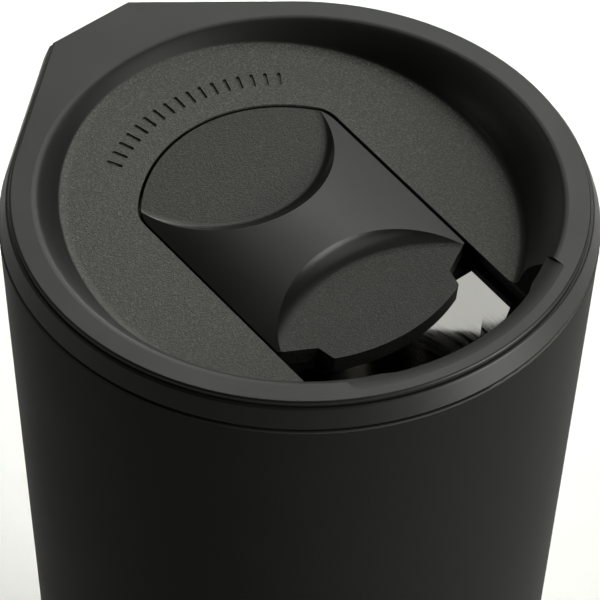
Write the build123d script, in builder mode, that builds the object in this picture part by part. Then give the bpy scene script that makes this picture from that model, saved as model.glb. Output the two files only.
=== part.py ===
from build123d import *
from math import atan, tan, radians, degrees, sin, cos, sqrt
import os

os.makedirs("parts", exist_ok=True)

# ---------------------------------------------------------------------------
# Insulated travel mug, millimetres.
# Origin: centre of the base underside, on the cup axis.  +Z up.
# -Y is the drinking side, +Y is the side of the thumb tab.
# ---------------------------------------------------------------------------

# --- overall sizes -----------------------------------------------------------
rim_z = 152.0            # height of the lid's rim land above the table
band_h = 4.0             # height of the lid's flared side band
lid_gap = 0.65           # shadow gap between the lid band and the steel lip
cup_r_top = 44.5         # outer radius of the cup at the lip
wall_slope = 0.0659      # radius lost per millimetre of height (3.77 degrees)
sheet_t = 0.6            # stainless sheet of both vacuum walls

band_z = rim_z - band_h                  # underside of the band
lip_z = band_z - lid_gap                 # top of the bare steel lip
shell_top_z = lip_z - 0.30               # end of the powder coated outer wall


def cup_r(z):
    """Outer radius of the powder coated wall at height z."""
    return cup_r_top - (lip_z - z) * wall_slope


# --- cup interior ------------------------------------------------------------
mouth_r = 41.2           # inner radius at the lip
neck_z = 140.0           # below this the inner wall follows the outer taper
neck_r = 40.9
inside_floor_z = 9.0
inside_corner_r = 7.0


def liner_r(z):
    """Inner radius of the steel liner."""
    if z >= neck_z:
        return neck_r + (mouth_r - neck_r) * (z - neck_z) / (lip_z - neck_z)
    return neck_r - (neck_z - z) * wall_slope


# --- lid ---------------------------------------------------------------------
rim_r = 42.9             # outer radius of the flat rim land
step_h = 0.9             # small step between the rim land and the side band
step_w = 0.45
band_r = 44.4            # outer radius at the foot of the side band
# well wall: (depth below the rim, radius); rolls over the rim edge, then steepens
well_profile = [(0.0, 39.6), (0.35, 38.55), (2.0, 36.75), (4.0, 35.2), (6.5, 34.05), (9.0, 33.45), (12.0, 33.15)]
tab_y = 49.1             # reach of the thumb tab
tab_half = 7.3           # half width of the tab's straight tip
floor_drop = 6.53        # depth of the well floor below the rim, on the axis
floor_slope = 0.12       # the floor falls towards the drinking side
floor_t = 1.7            # thickness of the well floor
skirt_r = 39.9           # outer radius of the plug skirt
skirt_t = 1.8
skirt_z = 134.0          # lower edge of the plug skirt

# --- slider ------------------------------------------------------------------
slot_half = 18.6         # half width of the slot in the well floor
slot_corner_y = 16.6     # where the straight sides meet the rear arc
slot_rear_y = 24.5       # rear end of the slot on the centre line
mouth_front_r = 37.7     # radius of the drink opening's front wall
gap = 0.5                # clearance between the slider and the slot
slider_travel = 12.4     # from fully open to closed
slider_top_w = -0.15     # slider end pads sit just below the well floor
crown_h = 2.1            # height of the saddle over the end pads
slider_under_w = -3.2
carrier_under_w = -4.0
seal_under_w = -4.75
deck_w = -4.85           # upper face of the lid base's deck
deck_t = 1.2
channel_half = 20.5      # half width of the channel that holds the slider

tilt = atan(floor_slope)
floor_plane = Plane(origin=(0, 0, rim_z - floor_drop), x_dir=(1, 0, 0),
                    z_dir=(0, -sin(tilt), cos(tilt)))

# ===========================================================================
# CUP
# ===========================================================================

# --- outer_shell: drawn stainless wall with a rolled-in foot ------------------
foot_z = 0.8
with BuildPart() as outer_shell:
    with BuildSketch(Plane.XZ):
        with BuildLine():
            l1 = Line((31.2, foot_z), (cup_r(0) - 2.6, foot_z))
            l2 = RadiusArc(l1 @ 1, (cup_r(foot_z + 2.4), foot_z + 2.4), -2.6)
            l3 = Line(l2 @ 1, (cup_r(shell_top_z), shell_top_z))
            l4 = Line(l3 @ 1, (cup_r(shell_top_z) - sheet_t, shell_top_z))
            l5 = Line(l4 @ 1, (cup_r(foot_z + 2.4) - sheet_t, foot_z + 2.4))
            l6 = RadiusArc(l5 @ 1, (cup_r(0) - 2.6, foot_z + sheet_t), 2.0)
            l7 = Line(l6 @ 1, (31.2, foot_z + sheet_t))
            l8 = Line(l7 @ 1, (31.2, foot_z))
        make_face()
    revolve(axis=Axis.Z)
outer_shell.part.label = "outer_shell"
export_step(outer_shell.part, "parts/outer_shell.step")

# --- inner_liner: polished stainless liner with the bare rolled lip ------------
with BuildPart() as inner_liner:
    with BuildSketch(Plane.XZ):
        with BuildLine():
            zf = inside_floor_z
            rf = liner_r(zf + inside_corner_r)
            a1 = Line((0, zf), (rf - inside_corner_r + 0.25, zf))
            a2 = Spline(a1 @ 1, (rf - 2.05, zf + 2.05), (rf, zf + inside_corner_r),
                        tangents=((1, 0), (wall_slope, 1)))
            a3 = Line(a2 @ 1, (neck_r, neck_z))
            a4 = Line(a3 @ 1, (mouth_r, lip_z - 0.5))
            a5 = RadiusArc(a4 @ 1, (mouth_r + 0.5, lip_z), 0.5)
            a6 = Line(a5 @ 1, (cup_r_top - 0.36, lip_z))
            a7 = RadiusArc(a6 @ 1, (cup_r_top - 0.06, shell_top_z + 0.02), 0.32)
            a8 = Line(a7 @ 1, (mouth_r + 0.95, shell_top_z + 0.02))
            a9 = Line(a8 @ 1, (mouth_r + sheet_t, shell_top_z - 0.9))
            a10 = Line(a9 @ 1, (neck_r + sheet_t, neck_z))
            a11 = Line(a10 @ 1, (rf + sheet_t, zf + inside_corner_r))
            a12 = Spline(a11 @ 1, (rf - 2.05 + 0.43, zf + 2.05 - 0.43),
                         (rf - inside_corner_r + 0.25, zf - sheet_t),
                         tangents=((-wall_slope, -1), (-1, 0)))
            a13 = Line(a12 @ 1, (0, zf - sheet_t))
            a14 = Line(a13 @ 1, (0, zf))
        make_face()
    revolve(axis=Axis.Z)
inner_liner.part.label = "inner_liner"
export_step(inner_liner.part, "parts/inner_liner.step")

# --- reflective_foil: copper foil wrapped around the liner in the vacuum -------
with BuildPart() as reflective_foil:
    with BuildSketch(Plane.XZ):
        with BuildLine():
            z0, z1 = 20.0, 136.0
            Polyline((liner_r(z0) + sheet_t + 0.05, z0), (liner_r(z0) + sheet_t + 0.30, z0),
                     (liner_r(z1) + sheet_t + 0.30, z1), (liner_r(z1) + sheet_t + 0.05, z1), close=True)
        make_face()
    revolve(axis=Axis.Z)
reflective_foil.part.label = "reflective_foil"
export_step(reflective_foil.part, "parts/reflective_foil.step")

# --- vacuum_base_plate: welded closure of the vacuum space --------------------
plate_z = 3.2
plate_r = cup_r(6.0) - sheet_t - 0.35
with BuildPart() as vacuum_base_plate:
    with BuildSketch(Plane.XZ):
        with BuildLine():
            Polyline((1.0, plate_z + 0.9), (2.6, plate_z + 0.9), (3.8, plate_z), (plate_r - 2.8, plate_z),
                     (plate_r - 0.5, plate_z + 0.9), (plate_r, plate_z + 3.2),
                     (plate_r - 0.6, plate_z + 3.2), (plate_r - 1.0, plate_z + 1.3),
                     (plate_r - 3.0, plate_z + 0.6),
                     (4.1, plate_z + 0.6), (2.9, plate_z + 1.5), (1.0, plate_z + 1.5), close=True)
        make_face()
    revolve(axis=Axis.Z)
vacuum_base_plate.part.label = "vacuum_base_plate"
export_step(vacuum_base_plate.part, "parts/vacuum_base_plate.step")

# --- sealing_bead: solder glass bead that closes the evacuation hole -----------
with BuildPart() as sealing_bead:
    with BuildSketch(Plane.XZ):
        with BuildLine():
            b1 = Line((0, plate_z + 0.85), (2.3, plate_z + 0.85))
            b2 = Line(b1 @ 1, (2.3, plate_z + 0.6))
            b3 = Spline(b2 @ 1, (1.5, plate_z - 0.05), (0, plate_z - 0.25),
                        tangents=((-0.3, -1), (-1, 0)))
            b4 = Line(b3 @ 1, (0, plate_z + 0.85))
        make_face()
    revolve(axis=Axis.Z)
sealing_bead.part.label = "sealing_bead"
export_step(sealing_bead.part, "parts/sealing_bead.step")

# --- getter and its clip: gas absorber pill inside the vacuum ------------------
getter_x = 15.0
with BuildPart() as getter:
    with BuildSketch(Plane.XY.offset(plate_z + 0.65)):
        with Locations((getter_x, 0)):
            Circle(4.0)
    extrude(amount=1.3)
    chamfer(getter.edges().filter_by(GeomType.CIRCLE), 0.2)
getter.part.label = "getter"
export_step(getter.part, "parts/getter.step")

with BuildPart() as getter_clip:
    with BuildSketch(Plane.XY.offset(plate_z + 0.65)):
        with Locations((getter_x, 0)):
            Rectangle(14.0, 3.0)
    extrude(amount=0.3)
    with BuildSketch(Plane.XY.offset(plate_z + 0.65)):
        with Locations((getter_x, 0)):
            Rectangle(10.0, 3.0)
    extrude(amount=2.0)
    with BuildSketch(Plane.XY.offset(plate_z + 0.6)):
        with Locations((getter_x, 0)):
            Circle(4.2)
    extrude(amount=1.5, mode=Mode.SUBTRACT)
    with BuildSketch(Plane.XY.offset(plate_z + 0.6)):
        with Locations((getter_x, 0)):
            Circle(1.2)
    extrude(amount=2.2, mode=Mode.SUBTRACT)
getter_clip.part.label = "getter_clip"
export_step(getter_clip.part, "parts/getter_clip.step")

# --- base_cover: stamped steel disc closing the foot recess -------------------
with BuildPart() as base_cover:
    with BuildSketch(Plane.XZ):
        with BuildLine():
            Polyline((0, 1.35), (29.9, 1.35), (30.3, 0.95), (31.05, 0.95), (31.05, 1.5), (30.7, 1.55),
                     (30.2, 1.95), (0, 1.95), close=True)
        make_face()
    revolve(axis=Axis.Z)
base_cover.part.label = "base_cover"
export_step(base_cover.part, "parts/base_cover.step")

# --- pad_adhesive: bonding disc under the silicone pad -------------------------
with BuildPart() as pad_adhesive:
    with BuildSketch(Plane.XY.offset(1.18)):
        Circle(28.2)
    extrude(amount=0.15)
pad_adhesive.part.label = "pad_adhesive"
export_step(pad_adhesive.part, "parts/pad_adhesive.step")

# --- base_pad: non-slip silicone disc the mug stands on ------------------------
with BuildPart() as base_pad:
    with BuildSketch(Plane.XY):
        Circle(29.2)
    extrude(amount=1.16)
    fillet(base_pad.edges().group_by(Axis.Z)[0], 0.4)
    with BuildSketch(Plane.XY):
        Circle(25.2)
        Circle(23.8, mode=Mode.SUBTRACT)
        Circle(20.2)
        Circle(18.8, mode=Mode.SUBTRACT)
    extrude(amount=0.45, mode=Mode.SUBTRACT)
base_pad.part.label = "base_pad"
export_step(base_pad.part, "parts/base_pad.step")

# ===========================================================================
# LID
# ===========================================================================


def well_points(extra):
    """Wall profile points (radius, height), moved outwards by extra, bottom first."""
    return [(r + extra, rim_z - d) for d, r in reversed(well_profile)]


# tangent points of the tab flanks on a circle of radius r
def tab_tangent(r, hx, ty):
    d = sqrt(hx * hx + ty * ty)
    from_x = degrees(atan(ty / hx))
    a = radians(from_x - degrees(atan(sqrt(d * d - r * r) / r)))
    return r * cos(a), r * sin(a)


flare = (band_r - rim_r - step_w)

# the open volume of the well: a dished wall above the sloping floor
with BuildPart() as well_space:
    with BuildSketch(Plane.XZ):
        with BuildLine():
            pts = well_points(0.0)
            w1 = Line((0, 128), (pts[0][0], 128))
            w2 = Line(w1 @ 1, pts[0])
            w3 = Spline(*pts, tangents=((-0.03, 1), (1, 0.03)))
            w4 = Line(w3 @ 1, (pts[-1][0], rim_z + 3))
            w5 = Line(w4 @ 1, (0, rim_z + 3))
            w6 = Line(w5 @ 1, (0, 128))
        make_face()
    revolve(axis=Axis.Z)
    split(bisect_by=floor_plane, keep=Keep.TOP)
    well_foot = well_space.faces().sort_by(Axis.Z)[0]
    fillet(well_foot.edges(), 2.2)

# the bowl that carries the well: same wall, one wall thickness further out
with BuildPart() as bowl:
    with BuildSketch(Plane.XZ):
        with BuildLine():
            Polyline((0, 128), (35.3, 128), (35.4, rim_z - 9.0), (36.1, rim_z - 6.5),
                     (37.3, rim_z - 4.0), (37.6, band_z + 0.5), (0, band_z + 0.5), close=True)
        make_face()
    revolve(axis=Axis.Z)
    split(bisect_by=floor_plane.offset(-floor_t), keep=Keep.TOP)

# cheeks either side of the drinking mouth, closing the bowl against the skirt
with BuildPart() as cheeks:
    with BuildSketch(Plane.XY.offset(130)):
        Circle(37.95)
        with Locations((0, -35.0)):
            Rectangle(42.0, 26.0, mode=Mode.INTERSECT)
    extrude(amount=band_z + 0.5 - 130)
    split(bisect_by=floor_plane.offset(-floor_t), keep=Keep.TOP)

# shallow relief in the rim where the lip of the drinker rests
with BuildPart() as sip_relief:
    with BuildSketch(Plane.XZ):
        with BuildLine():
            v1 = Spline((36.5, rim_z - 1.35), (38.4, rim_z - 0.75), (41.4, rim_z + 0.02),
                        tangents=((1, 0.25), (1, 0.02)))
            v2 = Line(v1 @ 1, (41.4, rim_z + 1))
            v3 = Line(v2 @ 1, (36.5, rim_z + 1))
            v4 = Line(v3 @ 1, v1 @ 0)
        make_face()
    revolve(axis=Axis.Z)
    with BuildSketch(Plane.XY.offset(rim_z - 4)):
        with Locations((0, -40)):
            Rectangle(40.0, 36.0)
    extrude(amount=8, mode=Mode.INTERSECT)

# the slot, drawn in the floor plane
with BuildPart() as slot_cut:
    with BuildSketch(floor_plane.offset(-14)):
        with BuildLine():
            s = slot_half
            yc = slot_corner_y
            q1 = Line((-s, -31.0), (-s, yc - 3.2))
            q2 = Spline(q1 @ 1, (-s + 0.35, yc - 1.3), (-s + 1.45, yc + 0.35),
                        tangents=((0, 1), (1.0, 0.95)))
            q3 = ThreePointArc(q2 @ 1, (0, slot_rear_y), (s - 1.45, yc + 0.35))
            q4 = Spline(q3 @ 1, (s - 0.35, yc - 1.3), (s, yc - 3.2),
                        tangents=((1.0, -0.95), (0, -1)))
            q5 = Line(q4 @ 1, (s, -31.0))
            q6 = Line(q5 @ 1, (12.8, -35.2))
            q7 = ThreePointArc((12.8, -35.2), (0, -mouth_front_r), (-12.8, -35.2))
            q8 = Line((-12.8, -35.2), (-s, -31.0))
        make_face()
    extrude(amount=30)

# the drinking side: vertical walled mouth cut up through the well wall
with BuildPart() as mouth_cut:
    with BuildSketch(Plane.XY.offset(130)):
        Circle(mouth_front_r)
        with Locations((0, -44)):
            Rectangle(2 * slot_half, 44.0, mode=Mode.INTERSECT)
    extrude(amount=30)

with BuildPart() as lid_top:
    # side band with the thumb tab, flaring downwards
    with BuildSketch(Plane.XY.offset(rim_z - step_h)):
        tx, ty = tab_tangent(rim_r + step_w, tab_half + 0.2, tab_y + step_w)
        with BuildLine():
            t1 = Line((-tab_half - 0.2, tab_y + step_w), (tab_half + 0.2, tab_y + step_w))
            t2 = Line(t1 @ 1, (tx, ty))
            t3 = ThreePointArc((tx, ty), (0, -rim_r - step_w), (-tx, ty))
            t4 = Line((-tx, ty), (-tab_half - 0.2, tab_y + step_w))
        make_face()
    extrude(amount=-(band_h - step_h), taper=-degrees(atan(flare / (band_h - step_h))))
    fillet(lid_top.edges().group_by(Axis.Z)[-1], 0.4)
    # rim land, one small step up and in
    with BuildSketch(Plane.XY.offset(rim_z - step_h - 0.6)):
        tx, ty = tab_tangent(rim_r, tab_half, tab_y)
        with BuildLine():
            t1 = Line((-tab_half, tab_y), (tab_half, tab_y))
            t2 = Line(t1 @ 1, (tx, ty))
            t3 = ThreePointArc((tx, ty), (0, -rim_r), (-tx, ty))
            t4 = Line((-tx, ty), (-tab_half, tab_y))
        make_face()
    extrude(amount=step_h + 0.6)
    fillet(lid_top.edges().group_by(Axis.Z)[-1], 0.35)
    add(bowl.part)
    add(cheeks.part)
    add(well_space.part, mode=Mode.SUBTRACT)
    add(mouth_cut.part, mode=Mode.SUBTRACT)
    add(sip_relief.part, mode=Mode.SUBTRACT)
    add(slot_cut.part, mode=Mode.SUBTRACT)
    # row of short radial marks engraved on the floor by the tab
    with BuildSketch(floor_plane.offset(-0.3)):
        with PolarLocations(29.4, 17, 56, 68):
            SlotOverall(2.6, 0.6)
    extrude(amount=2.0, mode=Mode.SUBTRACT)
lid_top.part.label = "lid_top"
print("lid_top solids", len(lid_top.part.solids()), lid_top.part.volume, lid_top.part.bounding_box())
export_step(lid_top.part, "parts/lid_top.step")

# --- lid_base: plug skirt, gasket groove, deck with the drink port, rails ------
deck_plane = floor_plane.offset(deck_w)
gasket_z0, gasket_z1 = 139.2, 144.6      # groove for the gasket
groove_r = 38.9
with BuildPart() as inside_skirt:
    with BuildSketch(Plane.XY.offset(120)):
        Circle(skirt_r - skirt_t + 0.1)
    extrude(amount=30)

with BuildPart() as lid_base:
    with BuildSketch(Plane.XZ):
        with BuildLine():
            Polyline((skirt_r - skirt_t, skirt_z), (skirt_r - 0.7, skirt_z), (skirt_r, skirt_z + 0.9),
                     (skirt_r, gasket_z0), (groove_r, gasket_z0), (groove_r, gasket_z1),
                     (skirt_r, gasket_z1), (skirt_r, band_z - 0.02), (skirt_r - skirt_t, band_z - 0.02), close=True)
        make_face()
    revolve(axis=Axis.Z)
    # inner stiffening wall behind the groove and the deck
    with BuildSketch(deck_plane):
        Circle(46.0)
    extrude(amount=-deck_t)
    # rails either side of the slider
    with BuildSketch(deck_plane):
        with Locations((channel_half + 0.85, -1.5), (-channel_half - 0.85, -1.5)):
            Rectangle(1.7, 56.0)
    extrude(amount=-deck_w - floor_t - 0.04)
    with BuildSketch(Plane.XY.offset(120)):
        Circle(60)
        Circle(skirt_r - 0.01, mode=Mode.SUBTRACT)
    extrude(amount=26.0 + 2.0 - 0.02, mode=Mode.SUBTRACT)
    with BuildSketch(Plane.XY.offset(gasket_z0)):
        Circle(60)
        Circle(groove_r, mode=Mode.SUBTRACT)
    extrude(amount=gasket_z1 - gasket_z0, mode=Mode.SUBTRACT)
    # drink port
    with BuildSketch(deck_plane.offset(1.0)):
        with BuildLine():
            k1 = Line((-19.2, -18.0), (19.2, -18.0))
            k2 = Line(k1 @ 1, (19.2, -26.9))
            k3 = Line(k2 @ 1, (12.6, -31.0))
            k4 = Line(k3 @ 1, (12.2, -32.5))
            k5 = ThreePointArc(k4 @ 1, (0, -34.9), (-12.2, -32.5))
            k6 = Line(k5 @ 1, (-12.6, -31.0))
            k7 = Line(k6 @ 1, (-19.2, -26.9))
            k8 = Line(k7 @ 1, (-19.2, -18.0))
        make_face()
    extrude(amount=-4.0, mode=Mode.SUBTRACT)
    # small air vent at the rear of the deck
    with BuildSketch(deck_plane.offset(1.0)):
        with Locations((0, 20.5)):
            Circle(1.1)
    extrude(amount=-4.0, mode=Mode.SUBTRACT)
lid_base.part.label = "lid_base"
print("lid_base solids", len(lid_base.part.solids()), lid_base.part.bounding_box())
export_step(lid_base.part, "parts/lid_base.step")

# --- lid_gasket: silicone ring with two wiper lips ------------------------------
fit = 0.06
with BuildPart() as lid_gasket:
    with BuildSketch(Plane.XZ):
        with BuildLine():
            g0, g1 = gasket_z0 + 0.1, gasket_z1 - 0.1
            Polyline((groove_r + fit, g0), (skirt_r + 0.15, g0), (liner_r(g0 + 1.0) - fit, g0 + 1.0),
                     (liner_r(g0 + 1.4) - fit, g0 + 1.4), (skirt_r + 0.1, g0 + 1.9), (skirt_r + 0.1, g0 + 2.9),
                     (liner_r(g0 + 3.7) - fit, g0 + 3.7), (liner_r(g0 + 4.1) - fit, g0 + 4.1),
                     (skirt_r + 0.1, g1), (groove_r + fit, g1), close=True)
        make_face()
    revolve(axis=Axis.Z)
lid_gasket.part.label = "lid_gasket"
export_step(lid_gasket.part, "parts/lid_gasket.step")

# ===========================================================================
# SLIDER (drawn fully open)
# ===========================================================================
sh = slot_half - gap
ry = slot_rear_y - gap
flange_half = 20.1
peg_spots = [(-14.0, 9.0), (14.0, 9.0), (-14.0, -9.0), (14.0, -9.0)]


with BuildPart() as over_crown:
    # everything above the crowned saddle between the two finger pads
    with BuildSketch(Plane(origin=floor_plane.origin, x_dir=(1, 0, 0),
                           z_dir=(0, -cos(tilt), -sin(tilt)))):
        with BuildLine():
            c1 = Line((-sh - 3, slider_top_w), (-sh, slider_top_w))
            c2 = ThreePointArc((-sh, slider_top_w), (0, slider_top_w + crown_h), (sh, slider_top_w))
            c3 = Line((sh, slider_top_w), (sh + 3, slider_top_w))
            c4 = Line(c3 @ 1, (sh + 3, slider_top_w + crown_h + 3))
            c5 = Line(c4 @ 1, (-sh - 3, slider_top_w + crown_h + 3))
            c6 = Line(c5 @ 1, (-sh - 3, slider_top_w))
        make_face()
    extrude(amount=40, both=True)

with BuildPart() as rear_scoop:
    with BuildSketch(Plane(origin=floor_plane.from_local_coords(Vector(0, 23.3, slider_top_w)),
                           x_dir=(1, 0, 0), z_dir=(0, -cos(tilt), -sin(tilt)))):
        with BuildLine():
            r1 = Line((0, 0), (18.2, 0))
            r2 = Spline(r1 @ 1, (21.6, crown_h + 0.15), tangents=((1, 0.12), (0.75, 1)))
            r3 = Line(r2 @ 1, (22.4, crown_h + 1.4))
            r4 = Line(r3 @ 1, (0, crown_h + 1.4))
            r5 = Line(r4 @ 1, (0, 0))
        make_face()
    revolve(axis=Axis(floor_plane.from_local_coords(Vector(0, 23.3, slider_top_w)), floor_plane.z_dir))

with BuildPart() as front_scoop:
    with BuildSketch(Plane(origin=floor_plane.from_local_coords(Vector(0, -36.2, slider_top_w)),
                           x_dir=(1, 0, 0), z_dir=(0, -cos(tilt), -sin(tilt)))):
        with BuildLine():
            e1 = Line((0, 0), (25.6, 0))
            e2 = Spline(e1 @ 1, (29.6, crown_h + 0.15), tangents=((1, 0.12), (0.75, 1)))
            e3 = Line(e2 @ 1, (30.4, crown_h + 1.4))
            e4 = Line(e3 @ 1, (0, crown_h + 1.4))
            e5 = Line(e4 @ 1, (0, 0))
        make_face()
    revolve(axis=Axis(floor_plane.from_local_coords(Vector(0, -36.2, slider_top_w)), floor_plane.z_dir))

with BuildPart() as slider_top:
    with BuildSketch(floor_plane.offset(slider_under_w)):
        with BuildLine():
            yc = slot_corner_y - 0.3
            d1 = Line((-sh, -16.6), (-sh, yc - 3.2))
            d2 = Spline(d1 @ 1, (-sh + 0.35, yc - 1.3), (-sh + 1.35, yc + 0.3),
                        tangents=((0, 1), (1.0, 0.95)))
            d3 = ThreePointArc(d2 @ 1, (0, ry), (sh - 1.35, yc + 0.3))
            d4 = Spline(d3 @ 1, (sh - 0.35, yc - 1.3), (sh, yc - 3.2),
                        tangents=((1.0, -0.95), (0, -1)))
            d5 = Line(d4 @ 1, (sh, -16.6))
            d6 = Line(d5 @ 1, (12.7, -19.4))
            d7 = Line(d6 @ 1, (12.1, -22.3))
            d8 = ThreePointArc(d7 @ 1, (0, -24.8), (-12.1, -22.3))
            d9 = Line(d8 @ 1, (-12.7, -19.4))
            d10 = Line(d9 @ 1, (-sh, -16.6))
        make_face()
    extrude(amount=slider_top_w - slider_under_w + crown_h + 0.5)
    # round the notch and tongue corners
    fillet(slider_top.edges().filter_by(Axis(floor_plane.origin, floor_plane.z_dir)).filter_by(
        lambda e: e.center().Y < -19.0), 0.7)
    add(over_crown.part, mode=Mode.SUBTRACT)
    add(rear_scoop.part, mode=Mode.SUBTRACT)
    add(front_scoop.part, mode=Mode.SUBTRACT)
    # side flanges that run under the well floor
    with BuildSketch(floor_plane.offset(slider_under_w)):
        with Locations((0, 1.5)):
            Rectangle(2 * flange_half, 33.0)
    extrude(amount=1.2)
    # sockets for the carrier's pegs
    with BuildSketch(floor_plane.offset(slider_under_w)):
        with Locations(*peg_spots):
            Circle(1.6)
    extrude(amount=1.7, mode=Mode.SUBTRACT)
slider_top.part.label = "slider_top"
print("slider_top solids", len(slider_top.part.solids()))
export_step(slider_top.part, "parts/slider_top.step")

# --- slider_carrier: lower plate, pegged to the slider, holds the seal ----------
with BuildPart() as slider_carrier:
    with BuildSketch(floor_plane.offset(carrier_under_w)):
        with Locations((0, 1.6)):
            Rectangle(2 * flange_half, 33.4)
        with BuildLine():
            n1 = Line((-flange_half, -15.0), (-12.4, -19.6))
            n2 = Line(n1 @ 1, (-11.6, -21.0))
            n3 = ThreePointArc(n2 @ 1, (0, -23.4), (11.6, -21.0))
            n4 = Line(n3 @ 1, (12.4, -19.6))
            n5 = Line(n4 @ 1, (flange_half, -15.0))
            n6 = Line(n5 @ 1, (-flange_half, -15.0))
        make_face()
    extrude(amount=slider_under_w - carrier_under_w - 0.04)
    with BuildSketch(floor_plane.offset(slider_under_w - 0.05)):
        with Locations(*peg_spots):
            Circle(1.55)
    extrude(amount=1.6)
    # lightening window behind the seal
    with BuildSketch(floor_plane.offset(carrier_under_w)):
        with Locations((0, 5.0)):
            RectangleRounded(20.0, 16.0, 3.0)
    extrude(amount=4, mode=Mode.SUBTRACT)
    # dovetail holes that key the moulded seal
    with BuildSketch(floor_plane.offset(carrier_under_w)):
        with Locations((-9.0, -16.5), (0, -16.5), (9.0, -16.5)):
            Circle(1.5)
    extrude(amount=4, mode=Mode.SUBTRACT)
slider_carrier.part.label = "slider_carrier"
print("slider_carrier solids", len(slider_carrier.part.solids()))
export_step(slider_carrier.part, "parts/slider_carrier.step")

# --- slider_seal: silicone pad that closes the drink port -----------------------
with BuildPart() as slider_seal:
    with BuildSketch(floor_plane.offset(seal_under_w)):
        with BuildLine():
            o1 = Line((-20.0, -4.2), (-20.0, -15.0))
            o2 = Line(o1 @ 1, (-12.9, -19.4))
            o3 = Line(o2 @ 1, (-12.5, -21.0))
            o4 = ThreePointArc(o3 @ 1, (0, -23.5), (12.5, -21.0))
            o5 = Line(o4 @ 1, (12.9, -19.4))
            o6 = Line(o5 @ 1, (20.0, -15.0))
            o7 = Line(o6 @ 1, (20.0, -4.2))
            o8 = Line(o7 @ 1, (-20.0, -4.2))
        make_face()
    extrude(amount=carrier_under_w - seal_under_w - 0.03)
    with BuildSketch(floor_plane.offset(carrier_under_w - 0.04)):
        with Locations((-9.0, -16.5), (0, -16.5), (9.0, -16.5)):
            Circle(1.45)
    extrude(amount=0.7)
slider_seal.part.label = "slider_seal"
print("slider_seal solids", len(slider_seal.part.solids()))
export_step(slider_seal.part, "parts/slider_seal.step")
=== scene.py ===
import bpy
import math
from mathutils import Matrix, Vector

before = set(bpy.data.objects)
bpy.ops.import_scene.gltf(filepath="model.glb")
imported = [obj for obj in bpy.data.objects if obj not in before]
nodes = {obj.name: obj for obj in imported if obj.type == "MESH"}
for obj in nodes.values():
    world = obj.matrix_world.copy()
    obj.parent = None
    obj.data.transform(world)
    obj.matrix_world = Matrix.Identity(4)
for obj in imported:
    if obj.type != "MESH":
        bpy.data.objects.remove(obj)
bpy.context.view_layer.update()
scene = bpy.context.scene

# ---------------------------------------------------------------------------
# node helpers
# ---------------------------------------------------------------------------


def new_mat(name):
    m = bpy.data.materials.new(name)
    m.use_nodes = True
    nt = m.node_tree
    nt.nodes.clear()
    out = nt.nodes.new("ShaderNodeOutputMaterial")
    bsdf = nt.nodes.new("ShaderNodeBsdfPrincipled")
    nt.links.new(bsdf.outputs["BSDF"], out.inputs["Surface"])
    return m, nt, bsdf


def add(nt, kind, **kw):
    n = nt.nodes.new(kind)
    for k, v in kw.items():
        setattr(n, k, v)
    return n


def noise(nt, coord, scale, detail=2.0, rough=0.5, distortion=0.0):
    n = add(nt, "ShaderNodeTexNoise")
    n.inputs["Scale"].default_value = scale
    n.inputs["Detail"].default_value = detail
    n.inputs["Roughness"].default_value = rough
    n.inputs["Distortion"].default_value = distortion
    nt.links.new(coord, n.inputs["Vector"])
    return n


def ramp(nt, fac, stops):
    r = add(nt, "ShaderNodeValToRGB")
    els = r.color_ramp.elements
    while len(els) > 1:
        els.remove(els[-1])
    els[0].position = stops[0][0]
    els[0].color = (*stops[0][1], 1)
    for p, c in stops[1:]:
        e = els.new(p)
        e.color = (*c, 1)
    nt.links.new(fac, r.inputs["Fac"])
    return r


def grey(v):
    return (v, v, v)


def bump(nt, height, strength, distance, normal=None):
    b = add(nt, "ShaderNodeBump")
    b.inputs["Strength"].default_value = strength
    b.inputs["Distance"].default_value = distance
    nt.links.new(height, b.inputs["Height"])
    if normal is not None:
        nt.links.new(normal, b.inputs["Normal"])
    return b


def obj_coord(nt):
    tc = add(nt, "ShaderNodeTexCoord")
    return tc.outputs["Object"]


# ---------------------------------------------------------------------------
# places on the object, from the frame (metres)
# ---------------------------------------------------------------------------
TILT = math.atan(0.12)              # the well floor and the slider fall towards the drinking side
FLOOR_Z = 0.14547                   # height of that tilted floor over the cup axis


def tilted(nt, co):
    """Coordinates on the tilted floor: across, along, above it."""
    mp = add(nt, "ShaderNodeMapping", vector_type="TEXTURE")
    mp.inputs["Location"].default_value = (0, 0, FLOOR_Z)
    mp.inputs["Rotation"].default_value = (TILT, 0, 0)
    nt.links.new(co, mp.inputs["Vector"])
    return mp.outputs["Vector"]


def math_node(nt, op, a, b=None, clamp=False):
    n = add(nt, "ShaderNodeMath", operation=op)
    n.use_clamp = clamp
    for k, v in enumerate((a, b)):
        if v is None:
            continue
        if isinstance(v, (int, float)):
            n.inputs[k].default_value = v
        else:
            nt.links.new(v, n.inputs[k])
    return n.outputs[0]


def smooth_step(nt, val, lo, hi, out_lo=0.0, out_hi=1.0):
    n = add(nt, "ShaderNodeMapRange", interpolation_type="SMOOTHSTEP")
    nt.links.new(val, n.inputs["Value"])
    n.inputs["From Min"].default_value = lo
    n.inputs["From Max"].default_value = hi
    n.inputs["To Min"].default_value = out_lo
    n.inputs["To Max"].default_value = out_hi
    return n.outputs["Result"]


def blend_val(nt, mask, a, b):
    """a where the mask is 0, b where it is 1."""
    n = add(nt, "ShaderNodeMapRange")
    nt.links.new(mask, n.inputs["Value"])
    for sock, v in (("To Min", a), ("To Max", b)):
        if isinstance(v, (int, float)):
            n.inputs[sock].default_value = v
        else:
            nt.links.new(v, n.inputs[sock])
    return n.outputs["Result"]


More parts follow.
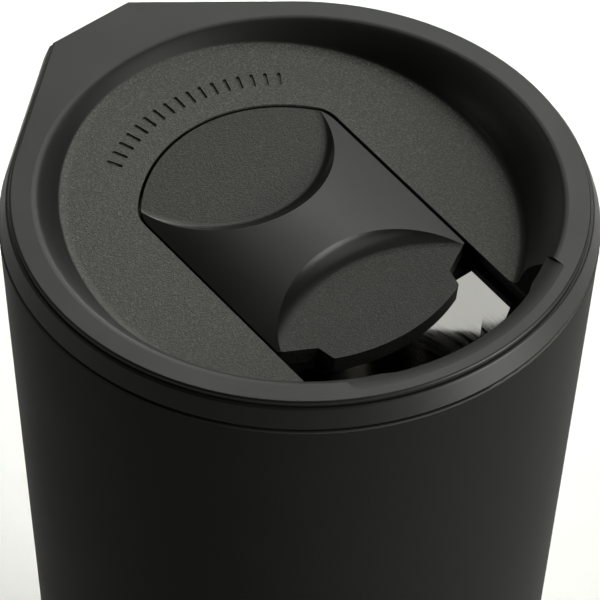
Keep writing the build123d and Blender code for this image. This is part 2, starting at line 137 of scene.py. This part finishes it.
def blend_col(nt, mask, a, b):
    n = add(nt, "ShaderNodeMix", data_type="RGBA")
    nt.links.new(mask, n.inputs[0])
    for k, v in ((6, a), (7, b)):
        if isinstance(v, tuple):
            n.inputs[k].default_value = (*v, 1)
        else:
            nt.links.new(v, n.inputs[k])
    return n.outputs[2]


# ---------------------------------------------------------------------------
# materials
# ---------------------------------------------------------------------------
def two_finish_plastic(name, mask_of, smooth, grained, spec, grain_scale=1900.0):
    """One black moulding with a smooth satin skin and, where the mask is 1, a
    spark-eroded grain. smooth and grained are (colour, roughness, bump)."""
    m, nt, b = new_mat(name)
    co = obj_coord(nt)
    mask = mask_of(nt, co)
    # spark-eroded pits: two sizes of cell and a fine noise between them
    vor = add(nt, "ShaderNodeTexVoronoi", feature="SMOOTH_F1")
    vor.inputs["Scale"].default_value = grain_scale
    vor.inputs["Smoothness"].default_value = 0.6
    nt.links.new(co, vor.inputs["Vector"])
    fine = noise(nt, co, grain_scale * 1.7, 3.0, 0.6)
    pits = math_node(nt, "ADD", vor.outputs["Distance"], fine.outputs["Fac"])
    skin = noise(nt, co, 2600.0, 2.0, 0.5)
    b1 = bump(nt, skin.outputs["Fac"], smooth[2], 0.00003)
    strength = blend_val(nt, mask, 0.0, grained[2])
    b2 = bump(nt, pits, 1.0, 0.00010, b1.outputs["Normal"])
    nt.links.new(strength, b2.inputs["Strength"])
    nt.links.new(b2.outputs["Normal"], b.inputs["Normal"])
    # colour: slow cloudiness, and pale specks scattered through the grain
    soft = noise(nt, co, 55.0, 4.0, 0.6, 0.3)
    cs = ramp(nt, soft.outputs["Fac"], [(0.3, tuple(c * 0.88 for c in smooth[0])), (0.7, tuple(c * 1.12 for c in smooth[0]))])
    tips = noise(nt, co, grain_scale * 0.8, 2.0, 0.55)
    cg = ramp(nt, tips.outputs["Fac"], [(0.35, tuple(c * 0.55 for c in grained[0])), (0.55, grained[0]), (0.72, tuple(c * 1.8 for c in grained[0]))])
    nt.links.new(blend_col(nt, mask, cs.outputs["Color"], cg.outputs["Color"]), b.inputs["Base Color"])
    rs = ramp(nt, soft.outputs["Fac"], [(0.3, grey(smooth[1] - 0.03)), (0.7, grey(smooth[1] + 0.03))])
    rg = ramp(nt, tips.outputs["Fac"], [(0.3, grey(grained[1] - 0.07)), (0.7, grey(grained[1] + 0.07))])
    nt.links.new(blend_val(nt, mask, rs.outputs["Color"], rg.outputs["Color"]), b.inputs["Roughness"])
    b.inputs["Specular IOR Level"].default_value = spec
    return m


def lid_floor_mask(nt, co):
    """1 on the tilted floor of the well, 0 on its wall, the rim and the band."""
    sep = add(nt, "ShaderNodeSeparateXYZ")
    nt.links.new(tilted(nt, co), sep.inputs[0])
    up = math_node(nt, "ABSOLUTE", sep.outputs[2])
    return smooth_step(nt, up, 0.00022, 0.00055, 1.0, 0.0)


def scoop_mask(nt, co):
    """1 on the flat bottoms of the slider's two finger scoops."""
    tc = tilted(nt, co)
    sep = add(nt, "ShaderNodeSeparateXYZ")
    nt.links.new(tc, sep.inputs[0])
    flat = add(nt, "ShaderNodeCombineXYZ")
    nt.links.new(sep.outputs[0], flat.inputs[0])
    nt.links.new(sep.outputs[1], flat.inputs[1])
    marks = []
    for cy, rad in ((0.0233, 0.0186), (-0.0362, 0.0260)):
        d = add(nt, "ShaderNodeVectorMath", operation="DISTANCE")
        nt.links.new(flat.outputs[0], d.inputs[0])
        d.inputs[1].default_value = (0, cy, 0)
        marks.append(smooth_step(nt, d.outputs["Value"], rad - 0.0002, rad + 0.0006, 1.0, 0.0))
    return math_node(nt, "MAXIMUM", marks[0], marks[1])


def grained_plastic(name, base, rough, grain=0.5, grain_scale=2600.0, spec=0.5, tone=0.15):
    """Pressed or moulded powdery surface with a fine grain all over."""
    m, nt, b = new_mat(name)
    co = obj_coord(nt)
    fine = noise(nt, co, grain_scale, 3.0, 0.6)
    vor = add(nt, "ShaderNodeTexVoronoi", feature="F1")
    vor.inputs["Scale"].default_value = grain_scale * 0.55
    nt.links.new(co, vor.inputs["Vector"])
    mix = math_node(nt, "ADD", fine.outputs["Fac"], vor.outputs["Distance"])
    bp = bump(nt, mix, grain, 0.00006)
    nt.links.new(bp.outputs["Normal"], b.inputs["Normal"])
    soft = noise(nt, co, 45.0, 4.0, 0.6)
    cr = ramp(nt, soft.outputs["Fac"], [(0.25, tuple(c * (1 - tone) for c in base)), (0.75, tuple(c * (1 + tone) for c in base))])
    nt.links.new(cr.outputs["Color"], b.inputs["Base Color"])
    rr = ramp(nt, soft.outputs["Fac"], [(0.3, grey(rough - 0.04)), (0.7, grey(rough + 0.04))])
    nt.links.new(rr.outputs["Color"], b.inputs["Roughness"])
    b.inputs["Specular IOR Level"].default_value = spec
    return m


def satin_plastic(name, base, rough, spec=0.5):
    """Smooth satin moulding with faint flow marks."""
    m, nt, b = new_mat(name)
    co = obj_coord(nt)
    fine = noise(nt, co, 1800.0, 2.0, 0.5)
    soft = noise(nt, co, 60.0, 4.0, 0.6, 0.4)
    bp = bump(nt, fine.outputs["Fac"], 0.12, 0.00004)
    nt.links.new(bp.outputs["Normal"], b.inputs["Normal"])
    cr = ramp(nt, soft.outputs["Fac"], [(0.3, tuple(c * 0.92 for c in base)), (0.7, tuple(c * 1.08 for c in base))])
    nt.links.new(cr.outputs["Color"], b.inputs["Base Color"])
    rr = ramp(nt, soft.outputs["Fac"], [(0.3, grey(rough - 0.03)), (0.7, grey(rough + 0.03))])
    nt.links.new(rr.outputs["Color"], b.inputs["Roughness"])
    b.inputs["Specular IOR Level"].default_value = spec
    return m


def powder_coat():
    m, nt, b = new_mat("powder_coat_black")
    co = obj_coord(nt)
    peel = noise(nt, co, 1500.0, 3.0, 0.55)
    fine = noise(nt, co, 5200.0, 2.0, 0.6)
    mix = add(nt, "ShaderNodeMath", operation="ADD")
    nt.links.new(peel.outputs["Fac"], mix.inputs[0])
    nt.links.new(fine.outputs["Fac"], mix.inputs[1])
    bp = bump(nt, mix.outputs[0], 0.35, 0.00005)
    nt.links.new(bp.outputs["Normal"], b.inputs["Normal"])
    soft = noise(nt, co, 30.0, 4.0, 0.6)
    cr = ramp(nt, soft.outputs["Fac"], [(0.3, (0.0105, 0.0108, 0.0100)), (0.7, (0.0130, 0.0133, 0.0123))])
    nt.links.new(cr.outputs["Color"], b.inputs["Base Color"])
    rr = ramp(nt, soft.outputs["Fac"], [(0.3, grey(0.52)), (0.7, grey(0.58))])
    nt.links.new(rr.outputs["Color"], b.inputs["Roughness"])
    b.inputs["Specular IOR Level"].default_value = 0.04
    return m


def brushed_metal(name, base, rough, streak=0.25, scale=900.0, lip=None):
    """Stainless sheet with fine circumferential polishing lines."""
    m, nt, b = new_mat(name)
    co = obj_coord(nt)
    sep = add(nt, "ShaderNodeSeparateXYZ")
    nt.links.new(co, sep.inputs[0])
    # radius and height drive the line pattern, so the lines run round the axis
    r2 = add(nt, "ShaderNodeVectorMath", operation="LENGTH")
    flat = add(nt, "ShaderNodeCombineXYZ")
    nt.links.new(sep.outputs[0], flat.inputs[0])
    nt.links.new(sep.outputs[1], flat.inputs[1])
    nt.links.new(flat.outputs[0], r2.inputs[0])
    comb = add(nt, "ShaderNodeCombineXYZ")
    nt.links.new(r2.outputs["Value"], comb.inputs[0])
    nt.links.new(sep.outputs[2], comb.inputs[1])
    lines = noise(nt, comb.outputs[0], scale, 4.0, 0.7)
    wob = noise(nt, co, 25.0, 3.0, 0.5)
    bp = bump(nt, lines.outputs["Fac"], streak, 0.00003)
    nt.links.new(bp.outputs["Normal"], b.inputs["Normal"])
    cr = ramp(nt, wob.outputs["Fac"], [(0.3, tuple(c * 0.95 for c in base)), (0.7, base)])
    rr = ramp(nt, lines.outputs["Fac"], [(0.3, grey(max(0.02, rough - 0.05))), (0.7, grey(rough + 0.05))])
    col, rgh = cr.outputs["Color"], rr.outputs["Color"]
    if lip is not None:
        # the lip's top is brushed and rougher than the wall below it; its colour is darkened as painted shade from
        # the lid band over it
        above = smooth_step(nt, sep.outputs[2], lip - 0.0012, lip)
        col = blend_col(nt, above, col, tuple(c * 0.55 for c in base))
        rgh = blend_val(nt, above, rgh, 0.34)
        # its outer roll, beside the powder coat, is darkened as painted shade in the gap under the lid band, which
        # dims its reflection there, and made dull
        outer = smooth_step(nt, r2.outputs["Value"], 0.04395, 0.04410)
        col = blend_col(nt, outer, col, tuple(c * 0.10 for c in base))
        rgh = blend_val(nt, outer, rgh, 0.70)
    nt.links.new(col, b.inputs["Base Color"])
    nt.links.new(rgh, b.inputs["Roughness"])
    b.inputs["Metallic"].default_value = 1.0
    return m


def foil():
    m, nt, b = new_mat("copper_foil")
    co = obj_coord(nt)
    cre = add(nt, "ShaderNodeTexVoronoi", feature="DISTANCE_TO_EDGE")
    cre.inputs["Scale"].default_value = 140.0
    nt.links.new(co, cre.inputs["Vector"])
    n2 = noise(nt, co, 400.0, 4.0, 0.6)
    mix = add(nt, "ShaderNodeMath", operation="ADD")
    nt.links.new(cre.outputs["Distance"], mix.inputs[0])
    nt.links.new(n2.outputs["Fac"], mix.inputs[1])
    bp = bump(nt, mix.outputs[0], 0.5, 0.0001)
    nt.links.new(bp.outputs["Normal"], b.inputs["Normal"])
    cr = ramp(nt, n2.outputs["Fac"], [(0.3, (0.72, 0.36, 0.22)), (0.7, (0.85, 0.47, 0.31))])
    nt.links.new(cr.outputs["Color"], b.inputs["Base Color"])
    b.inputs["Metallic"].default_value = 1.0
    b.inputs["Roughness"].default_value = 0.22
    return m


def rubber(name, base=(0.02, 0.02, 0.02), rough=0.62):
    m, nt, b = new_mat(name)
    co = obj_coord(nt)
    fine = noise(nt, co, 3000.0, 3.0, 0.6)
    soft = noise(nt, co, 70.0, 3.0, 0.5)
    bp = bump(nt, fine.outputs["Fac"], 0.25, 0.00005)
    nt.links.new(bp.outputs["Normal"], b.inputs["Normal"])
    cr = ramp(nt, soft.outputs["Fac"], [(0.3, tuple(c * 0.85 for c in base)), (0.7, tuple(c * 1.15 for c in base))])
    nt.links.new(cr.outputs["Color"], b.inputs["Base Color"])
    rr = ramp(nt, soft.outputs["Fac"], [(0.3, grey(rough - 0.05)), (0.7, grey(rough + 0.06))])
    nt.links.new(rr.outputs["Color"], b.inputs["Roughness"])
    b.inputs["Specular IOR Level"].default_value = 0.4
    return m


def glassy(name, base):
    m, nt, b = new_mat(name)
    co = obj_coord(nt)
    soft = noise(nt, co, 300.0, 3.0, 0.5)
    cr = ramp(nt, soft.outputs["Fac"], [(0.3, base), (0.7, tuple(c * 1.5 for c in base))])
    nt.links.new(cr.outputs["Color"], b.inputs["Base Color"])
    b.inputs["Roughness"].default_value = 0.12
    bp = bump(nt, soft.outputs["Fac"], 0.2, 0.0001)
    nt.links.new(bp.outputs["Normal"], b.inputs["Normal"])
    return m


mats = {
    "lid_top": two_finish_plastic("lid_grained_plastic", lid_floor_mask,
                                  ((0.0046, 0.0046, 0.0043), 0.44, 0.10), ((0.072, 0.072, 0.067), 0.56, 0.65), 0.37, grain_scale=3800.0),
    "lid_base": satin_plastic("lid_base_plastic", (0.012, 0.012, 0.012), 0.45),
    "slider_top": two_finish_plastic("slider_satin_plastic", scoop_mask,
                                     ((0.0042, 0.0042, 0.0039), 0.31, 0.06), ((0.045, 0.045, 0.042), 0.52, 0.55), 0.245, grain_scale=3800.0),
    "slider_carrier": satin_plastic("slider_carrier_plastic", (0.012, 0.012, 0.012), 0.48),
    "outer_shell": powder_coat(),
    "inner_liner": brushed_metal("polished_liner", (0.62, 0.61, 0.59), 0.085, 0.03, lip=0.1470),
    "reflective_foil": foil(),
    "vacuum_base_plate": brushed_metal("base_plate_steel", (0.50, 0.49, 0.48), 0.32, 0.3),
    "base_cover": brushed_metal("base_cover_steel", (0.52, 0.51, 0.50), 0.28, 0.3),
    "getter_clip": brushed_metal("clip_steel", (0.48, 0.48, 0.47), 0.30, 0.3),
    "getter": grained_plastic("getter_pressed_powder", (0.12, 0.12, 0.125), 0.75, grain=0.8, grain_scale=1800.0),
    "sealing_bead": glassy("solder_glass", (0.02, 0.03, 0.025)),
    "pad_adhesive": rubber("adhesive_film", (0.30, 0.28, 0.22), 0.5),
    "base_pad": rubber("pad_silicone", (0.016, 0.016, 0.017), 0.66),
    "lid_gasket": rubber("gasket_silicone", (0.02, 0.02, 0.021), 0.55),
    "slider_seal": rubber("seal_silicone", (0.018, 0.018, 0.019), 0.55),
}
for name, obj in nodes.items():
    m = mats[name]
    if not obj.material_slots:
        obj.data.materials.append(m)
    for s in obj.material_slots:
        s.material = m

# ---------------------------------------------------------------------------
# floor, backdrop, light, camera
# ---------------------------------------------------------------------------
world = bpy.data.worlds.new("studio")
scene.world = world
world.use_nodes = True
wn = world.node_tree
bg = wn.nodes["Background"]
bg.inputs["Color"].default_value = (1, 1, 1, 1)
bg.inputs["Strength"].default_value = 0.02
bg2 = wn.nodes.new("ShaderNodeBackground")
bg2.inputs["Color"].default_value = (1, 1, 1, 1)
bg2.inputs["Strength"].default_value = 1.0
lp = wn.nodes.new("ShaderNodeLightPath")
mixw = wn.nodes.new("ShaderNodeMixShader")
wout = [n for n in wn.nodes if n.type == "OUTPUT_WORLD"][0]
wn.links.new(lp.outputs["Is Camera Ray"], mixw.inputs[0])
wn.links.new(bg.outputs[0], mixw.inputs[1])
wn.links.new(bg2.outputs[0], mixw.inputs[2])
wn.links.new(mixw.outputs[0], wout.inputs["Surface"])

fm, fnt, fb = new_mat("floor_pale")
fco = obj_coord(fnt)
fn = noise(fnt, fco, 40.0, 3.0, 0.5)
fr = ramp(fnt, fn.outputs["Fac"], [(0.3, grey(0.86)), (0.7, grey(0.88))])
fnt.links.new(fr.outputs["Color"], fb.inputs["Base Color"])
fb.inputs["Roughness"].default_value = 0.8
fb.inputs["Specular IOR Level"].default_value = 0.1
import bmesh
me = bpy.data.meshes.new("floor")
bm = bmesh.new()
R = 3.0
vs = [bm.verts.new((x, y, 0)) for x, y in ((-R, -R), (R, -R), (R, R), (-R, R))]
bm.faces.new(vs)
bm.to_mesh(me)
bm.free()
floor = bpy.data.objects.new("floor", me)
scene.collection.objects.link(floor)
me.materials.append(fm)


def area(name, loc, target, size, power, size_y=None, spread=180):
    ld = bpy.data.lights.new(name, "AREA")
    ld.energy = power
    ld.size = size
    if size_y:
        ld.shape = "RECTANGLE"
        ld.size_y = size_y
    ld.spread = math.radians(spread)
    ld.color = (0.99, 1.0, 0.94)
    o = bpy.data.objects.new(name, ld)
    scene.collection.objects.link(o)
    o.location = loc
    d = Vector(target) - Vector(loc)
    o.rotation_euler = d.to_track_quat("-Z", "Y").to_euler()
    return o


# the photograph's camera: direction and distance in the row frame
ANG = math.radians(131.35)          # tab direction in the picture's own frame
ELEV = math.radians(44.53)
ROLL = math.radians(1.459)
YAW = math.radians(0.03)
DIST, HEIGHT, F_PX = 0.64015, 0.60795, 6000.0
RIM_Z = 0.152


def to_row(v):
    """From the picture's own frame (camera on -Y) to the row frame."""
    d = Vector((math.cos(ANG), math.sin(ANG), 0))
    n = Vector((math.sin(ANG), -math.cos(ANG), 0))
    return Vector((v.dot(n), v.dot(d), v[2]))


f = Vector((math.sin(YAW) * math.cos(ELEV), math.cos(YAW) * math.cos(ELEV), -math.sin(ELEV)))
r = Vector((math.cos(YAW), -math.sin(YAW), 0))
u = r.cross(f)
r2 = math.cos(ROLL) * r + math.sin(ROLL) * u
u2 = -math.sin(ROLL) * r + math.cos(ROLL) * u
R2, U2, F2 = to_row(r2), to_row(u2), to_row(f)
pos = to_row(Vector((0, -DIST, HEIGHT)))
pos.z += RIM_Z
cam_data = bpy.data.cameras.new("cam")
cam_data.sensor_width = 36.0
cam_data.lens = F_PX * 36.0 / 600.0
cam_data.clip_start = 0.01
cam_data.clip_end = 20
cam = bpy.data.objects.new("cam", cam_data)
scene.collection.objects.link(cam)
cam.matrix_world = Matrix(((R2.x, U2.x, -F2.x, pos.x), (R2.y, U2.y, -F2.y, pos.y), (R2.z, U2.z, -F2.z, pos.z), (0, 0, 0, 1)))
scene.camera = cam

# directions in the picture: right, towards the viewer, up
RIGHT = to_row(Vector((1, 0, 0)))
NEAR = to_row(Vector((0, -1, 0)))
UP = Vector((0, 0, 1))
C = Vector((0, 0, 0.14))


def at(right, near, up):
    return C + RIGHT * right + NEAR * near + UP * up


def soft_box(name, az, el, dist, size, power):
    """A soft box az degrees round from straight behind the mug, towards the
    right of the picture, and el degrees above it."""
    a, e = math.radians(az), math.radians(el)
    p = at(math.sin(a) * math.cos(e) * dist, -math.cos(a) * math.cos(e) * dist, math.sin(e) * dist)
    return area(name, p, C, size, power, size)


soft_box("back_low", 14, 14, 1.1, 0.35, 2.2)
soft_box("back_high", 0, 42, 1.1, 0.5, 2.4)
soft_box("back_top", 12, 56, 1.1, 0.4, 1.1)
soft_box("back_right", 35, 42, 1.1, 0.5, 2.4)
soft_box("side_right", 108, 42, 1.1, 0.5, 2.15)
soft_box("front_right_low", 111, 8, 1.1, 0.50, 13.0)
soft_box("left_high", 290, 42, 1.1, 0.5, 0.62)
soft_box("left_low", 262, 8, 1.1, 0.22, 0.38)
soft_box("back_left_low", 320, 12, 1.1, 0.35, 0.28)
soft_box("overhead", 90, 68, 1.1, 0.5, 0.46)
# a narrow wash on the floor just behind the mug, aimed under the lid
area("floor_wash", at(0, -0.56, 0.42), at(0, -0.17, -0.14), 0.26, 0.115, 0.10, spread=28)
# a small panel low inside the cup, behind the drinking mouth, whose light the
# polished wall sends back out through the mouth
n = Vector((0.036, -0.030, 0.029)).normalized()
px = Vector((0.030, 0.015, 0.018))
px = (px - n * px.dot(n)).normalized()
pz = -n
py = pz.cross(px)
up = py if py.z > 0 else -py
ld = bpy.data.lights.new("inside_cup", "AREA")
ld.shape = "RECTANGLE"
ld.size, ld.size_y, ld.energy = 0.020, 0.0138, 0.00062
ld.color = (0.99, 1.0, 0.96)
inside = bpy.data.objects.new("inside_cup", ld)
scene.collection.objects.link(inside)
lc = Vector((0.0138, 0.0202, 0.0815)) + up * 0.0011
inside.matrix_world = Matrix(((px.x, py.x, pz.x, lc.x), (px.y, py.y, pz.y, lc.y), (px.z, py.z, pz.z, lc.z), (0, 0, 0, 1)))
inside.visible_camera = False

scene.view_settings.view_transform = "Standard"
scene.view_settings.look = "None"
scene.view_settings.exposure = 0.0
scene.view_settings.gamma = 1.0
